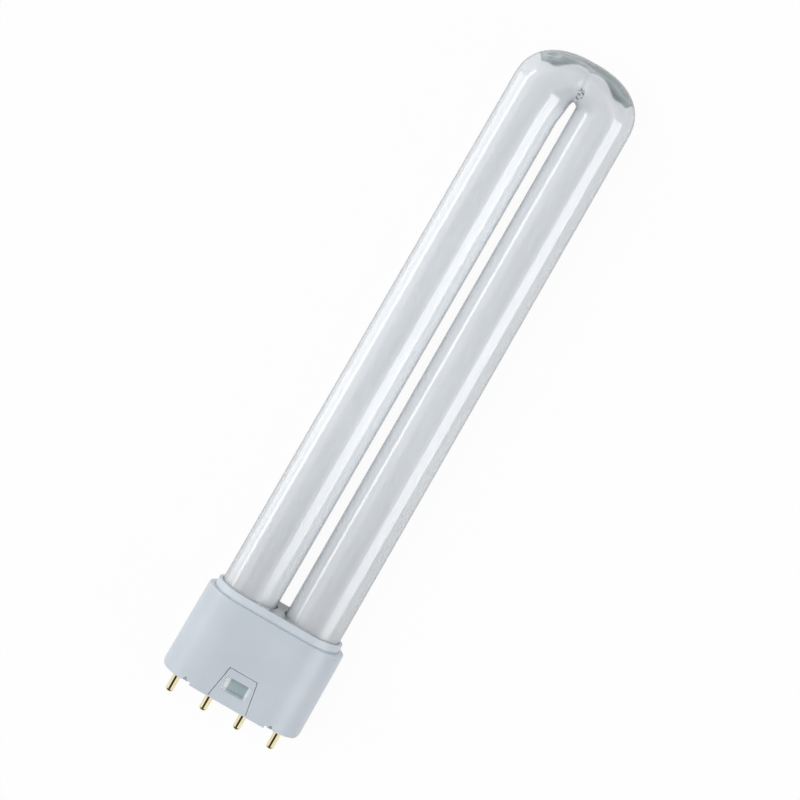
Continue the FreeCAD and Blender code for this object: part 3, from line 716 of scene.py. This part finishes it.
def make_glass(sizes):
    """Glass with a white coating inside: soft lengthwise unevenness, greyer towards the cap, clear
    patches on the crest of the dome with streaks in them and painted shade growing to their right,
    flecks over the slot, and painted shade in a darker line where the wall is seen edge on. The
    glass is glossy where it faces the camera, and duller on the puckered spot over the slot."""
    material, tree, shader = new_material("phosphor_glass")
    place = add_node(tree, "ShaderNodeTexCoord").outputs["Object"]
    split = add_node(tree, "ShaderNodeSeparateXYZ")
    tree.links.new(place, split.inputs[0])
    edge = add_node(tree, "ShaderNodeLayerWeight", socket_Blend=0.5)

    # the coating, uneven along the tube and greyer towards the cap
    darker, lighter = 0.965, 1.02
    base = Vector(sizes.phosphor)
    streaks = add_group(tree, streaks_group(), Scale=240.0, Stretch=0.12)
    tone = spread(tree, streaks.outputs["Streaks"])
    coating = blend_colours(tree, tone, tuple(base * darker), tuple(base * lighter))
    low, high = TUBE_LOW.y + sizes.grey_from, TUBE_LOW.y + sizes.grey_to
    greyer = remap(tree, split.outputs["Y"], low, high, sizes.grey, 1.0)
    grey = add_node(tree, "ShaderNodeVectorMath", operation="SCALE")
    tree.links.new(coating, grey.inputs[0])
    tree.links.new(greyer, grey.inputs["Scale"])

    # the clear patches, with light streaks across, dark lenses, and painted shade growing over the
    # right lobe
    squeeze = add_node(tree, "ShaderNodeMapping", socket_Scale=(0.2, 1.0, 1.0))
    tree.links.new(place, squeeze.inputs["Vector"])
    rivulets = noise_at(tree, squeeze.outputs[0], 650.0)
    sheen = remap(tree, rivulets, 0.38, 0.6, 0.0, 1.0, smooth=True)
    patch = blend_colours(tree, sheen, sizes.clear_glass, sizes.clear_light)
    shaded = blend_colours(tree, mark_at(tree, "dark"), patch, sizes.clear_dark)
    coated = blend_colours(tree, mark_at(tree, "clear"), grey.outputs[0], shaded)

    # the flecks over the slot, and painted shade along the tube's edges, where the wall is seen
    # edge on
    spots = remap(tree, noise_at(tree, place, 1400.0), 0.47, 0.53, 0.0, 1.0)
    fleck = work_out(tree, "MULTIPLY", spots, mark_at(tree, "flecks"))
    fleck_tone = tuple(Vector(sizes.clear_dark) * 0.7)
    flecked = blend_colours(tree, fleck, coated, fleck_tone)
    rim = remap(tree, edge.outputs["Facing"], 0.56, 0.92, 0.0, 1.0, smooth=True)
    lined = blend_colours(tree, rim, flecked, sizes.outline)
    tree.links.new(lined, shader.inputs["Base Color"])

    # the gloss
    facing_gloss = remap(tree, edge.outputs["Facing"], 0.35, 0.65, 1.0, 0.0, smooth=True)
    puckered = mark_at(tree, "rough")
    even_glass = work_out(tree, "SUBTRACT", 1.0, puckered)
    gloss = work_out(tree, "MULTIPLY", facing_gloss, even_glass)
    tree.links.new(gloss, shader.inputs["Coat Weight"])
    roughness = remap(tree, puckered, 0.0, 1.0, 0.16, 0.4)
    tree.links.new(roughness, shader.inputs["Roughness"])
    set_sockets(shader, IOR=1.5, Coat_Roughness=0.06, Coat_IOR=1.5)
    set_sockets(shader, Subsurface_Weight=0.7, Subsurface_Scale=0.015)
    set_sockets(shader, Subsurface_Radius=(1.0, 1.0, 1.0))
    return material


def make_brass(tone):
    """Polished brass with faint lengthwise drawing marks and a tarnish that wanders a little."""
    material, tree, shader = new_material("pin_brass")
    marks = add_group(tree, streaks_group(), Scale=4000.0, Stretch=0.06)
    drawn = spread(tree, marks.outputs["Streaks"])
    tarnish = (tone[0] * 0.88, tone[1] * 0.84, tone[2] * 0.78)
    tree.links.new(blend_colours(tree, drawn, tarnish, tuple(tone)), shader.inputs["Base Color"])
    polish = spread(tree, marks.outputs["Streaks"], 0.1, 0.06)
    tree.links.new(polish, shader.inputs["Roughness"])
    set_sockets(shader, Metallic=1.0)
    return material


def make_wire(tone):
    """Drawn nickel plated wire."""
    material, tree, shader = new_material("wire_metal")
    marks = add_group(tree, streaks_group(), Scale=6000.0, Stretch=0.1)
    drawn = spread(tree, marks.outputs["Streaks"])
    dull = tuple(Vector(tone) * 0.8)
    tree.links.new(blend_colours(tree, drawn, dull, tuple(tone)), shader.inputs["Base Color"])
    set_sockets(shader, Metallic=1.0, Roughness=0.35)
    return material


class BULB_OT_make_tube(bpy.types.Operator):
    """Makes the bent glass tube with its coating"""

    bl_idname = "bulb.make_tube"
    bl_label = "Make the glass tube"

    def execute(self, context):
        sizes = context.scene.bulb_glass
        mesh = make_tube_mesh(sizes, context.scene.bulb_tip)
        add_piece("tube_glass", mesh, "glass_tube", make_glass(sizes))
        return {"FINISHED"}


class BULB_OT_make_pins(bpy.types.Operator):
    """Makes the four contact pins"""

    bl_idname = "bulb.make_pins"
    bl_label = "Make the contact pins"

    def execute(self, context):
        sizes = context.scene.bulb_pins
        brass = make_brass(sizes.brass)
        for number in range(1, PIN_COUNT + 1):
            node = f"contact_pin_{number}"
            add_piece(f"pin_{number}", make_pin_mesh(sizes, node), node, brass)
        return {"FINISHED"}


class BULB_OT_finish_cap(bpy.types.Operator):
    """Gives the cap's mouldings their satin plastic"""

    bl_idname = "bulb.finish_cap"
    bl_label = "Finish the cap"

    def execute(self, context):
        colours = context.scene.bulb_cap
        plastic = make_plastic("cap_plastic", colours.cap, CAP_ROUGHNESS)
        finish_node("cap_housing", plastic)

        # the latch recess: painted shade on its floor, and painted highlights on a strip on the
        # left and on the right with its side walls, where light falls on them
        low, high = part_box("pin_carrier")
        foot, face = low.y / MM, (high.z - low.z) / 2 / MM
        tall = (foot + 3.4, foot + 3.7, foot + 8.0, foot + 8.3)
        deep, shallow = (0, 1, face - 1.9, face - 1.3), (0, 1, face - 0.4, face - 0.1)
        floor = {"X": (-4.3, -3.9, 3.9, 4.3), "Y": tall, "D": deep}
        left = {"X": (-4.3, -3.9, -3.0, -2.2), "Y": tall, "D": shallow}
        right = {"X": (2.8, 3.3, 3.9, 4.3), "Y": tall, "D": shallow}
        wall = colours.recess_wall_highlight
        zones = ((colours.recess, floor), (wall, left), (wall, right))
        plastic = make_plastic("carrier_plastic", colours.cap, CAP_ROUGHNESS, zones=zones)
        finish_node("pin_carrier", plastic)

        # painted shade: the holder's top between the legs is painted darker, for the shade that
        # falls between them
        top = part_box("tube_holder")[1].y / MM
        uppermost = (top - 0.6, top - 0.2, top, top + 1)
        painted_seat_shade = {"X": (-3.4, -2.4, 2.4, 3.4), "Y": uppermost, "D": (-2, -1, 9.2, 9.7)}
        zones = ((colours.painted_seat_shade, painted_seat_shade),)
        plastic = make_plastic("holder_plastic", colours.holder, HOLDER_ROUGHNESS, zones=zones)
        finish_node("tube_holder", plastic)
        return {"FINISHED"}


class BULB_OT_finish_inside(bpy.types.Operator):
    """Makes the rings of cement and gives the lead wires their finish"""

    bl_idname = "bulb.finish_inside"
    bl_label = "Finish the cement and wires"

    def execute(self, context):
        glass, cap = context.scene.bulb_glass, context.scene.bulb_cap
        cement = make_plastic(
            "lamp_cement", cap.cement, CEMENT_ROUGHNESS, grain_height=0.03 * MM, shade=0.1
        )
        for node in ("cement_left", "cement_right"):
            mesh = make_cement_mesh(glass, cap, node)
            add_piece(f"{node}_ring", mesh, node, cement)
        wire = make_wire(cap.wire)
        for number in range(1, PIN_COUNT + 1):
            finish_node(f"lead_wire_{number}", wire)
        return {"FINISHED"}


def add_lamp(name, brightness, lean, distance, half_width, far_end, near_end, slant=0, lift=0.0):
    """A rectangular lamp over the bulb that faces it, hidden from the camera. Seen from the camera
    its reflection lies on the legs' sides that lean half as far."""
    lean, half_width, slant = (math.radians(degrees) for degrees in (lean, half_width, slant))
    lamp = bpy.data.lights.new(name, "AREA")
    lamp.shape = "RECTANGLE"
    lamp.size = 2 * distance * math.tan(half_width)
    lamp.size_y = far_end - near_end
    lamp.energy = brightness * math.pi * lamp.size * lamp.size_y
    piece = bpy.data.objects.new(name, lamp)
    bpy.context.scene.collection.objects.link(piece)
    outward = Vector((math.sin(lean), 0, math.cos(lean)))
    sideways = Vector((0, 1, 0)).cross(outward)
    turned = Matrix((sideways, Vector((0, 1, 0)), outward)).transposed().to_4x4()
    centre = Vector((0, (far_end + near_end) / 2, MID_DEPTH + lift)) + outward * distance
    piece.matrix_world = Matrix.Translation(centre) @ turned @ Matrix.Rotation(-slant, 4, "Z")
    piece.visible_camera = False
    piece.visible_diffuse = name not in REFLECTED_ONLY
    piece.visible_glossy = name not in DULL_ONLY


def add_camera(stage):
    """The camera, leaning from overhead towards the tip, with the bulb turned in its picture."""
    lens = bpy.data.cameras.new("photo_camera")
    lens.sensor_width = 36.0
    lens.lens = lens.sensor_width * stage.camera_distance / stage.frame_width
    lens.clip_start, lens.clip_end = 0.1, 50.0
    camera = bpy.data.objects.new("photo_camera", lens)
    bpy.context.scene.collection.objects.link(camera)
    bpy.context.scene.camera = camera
    back = Vector((0, math.sin(stage.camera_tilt), math.cos(stage.camera_tilt)))
    across = Vector((1, 0, 0))
    along = back.cross(across)
    turn = stage.camera_turn
    right = across * math.cos(turn) + along * math.sin(turn)
    up = along * math.cos(turn) - across * math.sin(turn)
    target = Vector((stage.aim_x, stage.aim_y, MID_DEPTH))
    turned = Matrix((right, up, back)).transposed().to_4x4()
    camera.matrix_world = Matrix.Translation(target + back * stage.camera_distance) @ turned


def ray_kinds(tree):
    """Whether a ray is from the camera, and whether off a glossy or through a clear surface."""
    path = add_node(tree, "ShaderNodeLightPath").outputs
    shiny = work_out(tree, "MAXIMUM", path["Is Glossy Ray"], path["Is Transmission Ray"])
    return path["Is Camera Ray"], shiny


def add_world(stage):
    """A bright room with a dark ceiling over the camera, and dim beyond the tip and beyond the
    pins. Rays from the camera see plain white, and glossy and clear surfaces see the room. Dull
    surfaces get the room's light times the fill, with its right end dim too."""
    world = bpy.data.worlds.new("studio")
    bpy.context.scene.world = world
    world.use_nodes = True
    tree = world.node_tree
    shader = next(node for node in tree.nodes if node.type == "BACKGROUND")
    ray = add_node(tree, "ShaderNodeTexCoord").outputs["Generated"]
    facing = add_node(tree, "ShaderNodeVectorMath", operation="DOT_PRODUCT")
    facing.inputs[1].default_value = CEILING_MIDDLE
    tree.links.new(ray, facing.inputs[0])
    near, far = math.cos(stage.ceiling_full), math.cos(stage.ceiling_edge)
    overhead = facing.outputs["Value"]
    open_room = remap(tree, overhead, near, far, stage.ceiling, 1.0, smooth=True)
    split = add_node(tree, "ShaderNodeSeparateXYZ")
    tree.links.new(ray, split.inputs[0])
    x, y = split.outputs["X"], split.outputs["Y"]
    past_tip = remap(tree, y, *TIP_END, 1.0, stage.past_tip, smooth=True)
    past_pins = remap(tree, y, *PINS_END, stage.past_pins, 1.0, smooth=True)
    right_end = remap(tree, x, *RIGHT_END, 1.0, stage.right_end, smooth=True)
    ends = work_out(tree, "MULTIPLY", past_tip, past_pins)
    room = work_out(tree, "MULTIPLY", open_room, ends)
    soft = work_out(tree, "MULTIPLY", room, right_end)
    soft = work_out(tree, "MULTIPLY", soft, stage.fill)
    from_camera, shiny = ray_kinds(tree)
    light = add_node(tree, "ShaderNodeMix", data_type="FLOAT")
    for socket, value in zip((0, 2, 3), (shiny, soft, room)):
        tree.links.new(value, light.inputs[socket])
    strength = work_out(tree, "MAXIMUM", light.outputs[0], from_camera)
    shader.inputs["Color"].default_value = (1, 1, 1, 1)
    tree.links.new(strength, shader.inputs["Strength"])


def add_floor(stage):
    """A wide pale floor that the camera sees as white with a faint shadow on it."""
    half = stage.floor_half
    corners = [(-half, -half, 0), (half, -half, 0), (half, half, 0), (-half, half, 0)]
    mesh = bpy.data.meshes.new("floor")
    mesh.from_pydata(corners, [], [(0, 1, 2, 3)])
    floor = bpy.data.objects.new("floor", mesh)
    bpy.context.scene.collection.objects.link(floor)
    material, tree, shader = new_material("floor")
    mesh.materials.append(material)
    set_sockets(shader, Base_Color=(*stage.floor, 1.0), Roughness=0.9, Specular_IOR_Level=0.0)
    from_camera, shiny = ray_kinds(tree)
    seen = work_out(tree, "MAXIMUM", shiny, from_camera)
    share = work_out(tree, "MULTIPLY", seen, stage.floor_glow)
    glow = add_node(tree, "ShaderNodeEmission")
    mixed = add_node(tree, "ShaderNodeMixShader")
    result = next(node for node in tree.nodes if node.type == "OUTPUT_MATERIAL")
    tree.links.new(share, mixed.inputs[0])
    tree.links.new(shader.outputs[0], mixed.inputs[1])
    tree.links.new(glow.outputs[0], mixed.inputs[2])
    tree.links.new(mixed.outputs[0], result.inputs["Surface"])


class BULB_OT_set_stage(bpy.types.Operator):
    """Sets up the camera, the lamps, the room's light and the floor"""

    bl_idname = "bulb.set_stage"
    bl_label = "Set the stage"

    def execute(self, context):
        stage = context.scene.bulb_stage
        context.scene.view_settings.view_transform = "Standard"
        add_camera(stage)
        add_world(stage)
        add_floor(stage)
        for name, place in LAMPS.items():
            add_lamp(name, getattr(stage, name), **place)
        return {"FINISHED"}


class BULB_PT_panel(bpy.types.Panel):
    """Lists the bulb's sizes, colours and steps in the sidebar"""

    bl_idname = "BULB_PT_panel"
    bl_label = "Fluorescent bulb"
    bl_space_type = "VIEW_3D"
    bl_region_type = "UI"
    bl_category = "Bulb"

    def draw(self, context):
        for group in GROUPS:
            settings = getattr(context.scene, group)
            column = self.layout.column(align=True)
            for name in settings.__annotations__:
                column.prop(settings, name)
        for step in STEPS:
            self.layout.operator(step.bl_idname)


GROUPS = {
    "bulb_glass": BulbGlass,
    "bulb_tip": BulbTip,
    "bulb_cap": BulbCap,
    "bulb_pins": BulbPins,
    "bulb_stage": BulbStage,
}
STEPS = (
    BULB_OT_make_tube,
    BULB_OT_make_pins,
    BULB_OT_finish_cap,
    BULB_OT_finish_inside,
    BULB_OT_set_stage,
)
CLASSES = (*GROUPS.values(), *STEPS, BULB_PT_panel)


def register():
    for item in CLASSES:
        bpy.utils.register_class(item)
    for name, group in GROUPS.items():
        setattr(bpy.types.Scene, name, PointerProperty(type=group))


def unregister():
    for name in GROUPS:
        delattr(bpy.types.Scene, name)
    for item in reversed(CLASSES):
        bpy.utils.unregister_class(item)


def main():
    """Runs every step in order."""
    register()
    bpy.ops.bulb.make_tube()
    bpy.ops.bulb.make_pins()
    bpy.ops.bulb.finish_cap()
    bpy.ops.bulb.finish_inside()
    bpy.ops.bulb.set_stage()


if __name__ == "__main__":
    main()
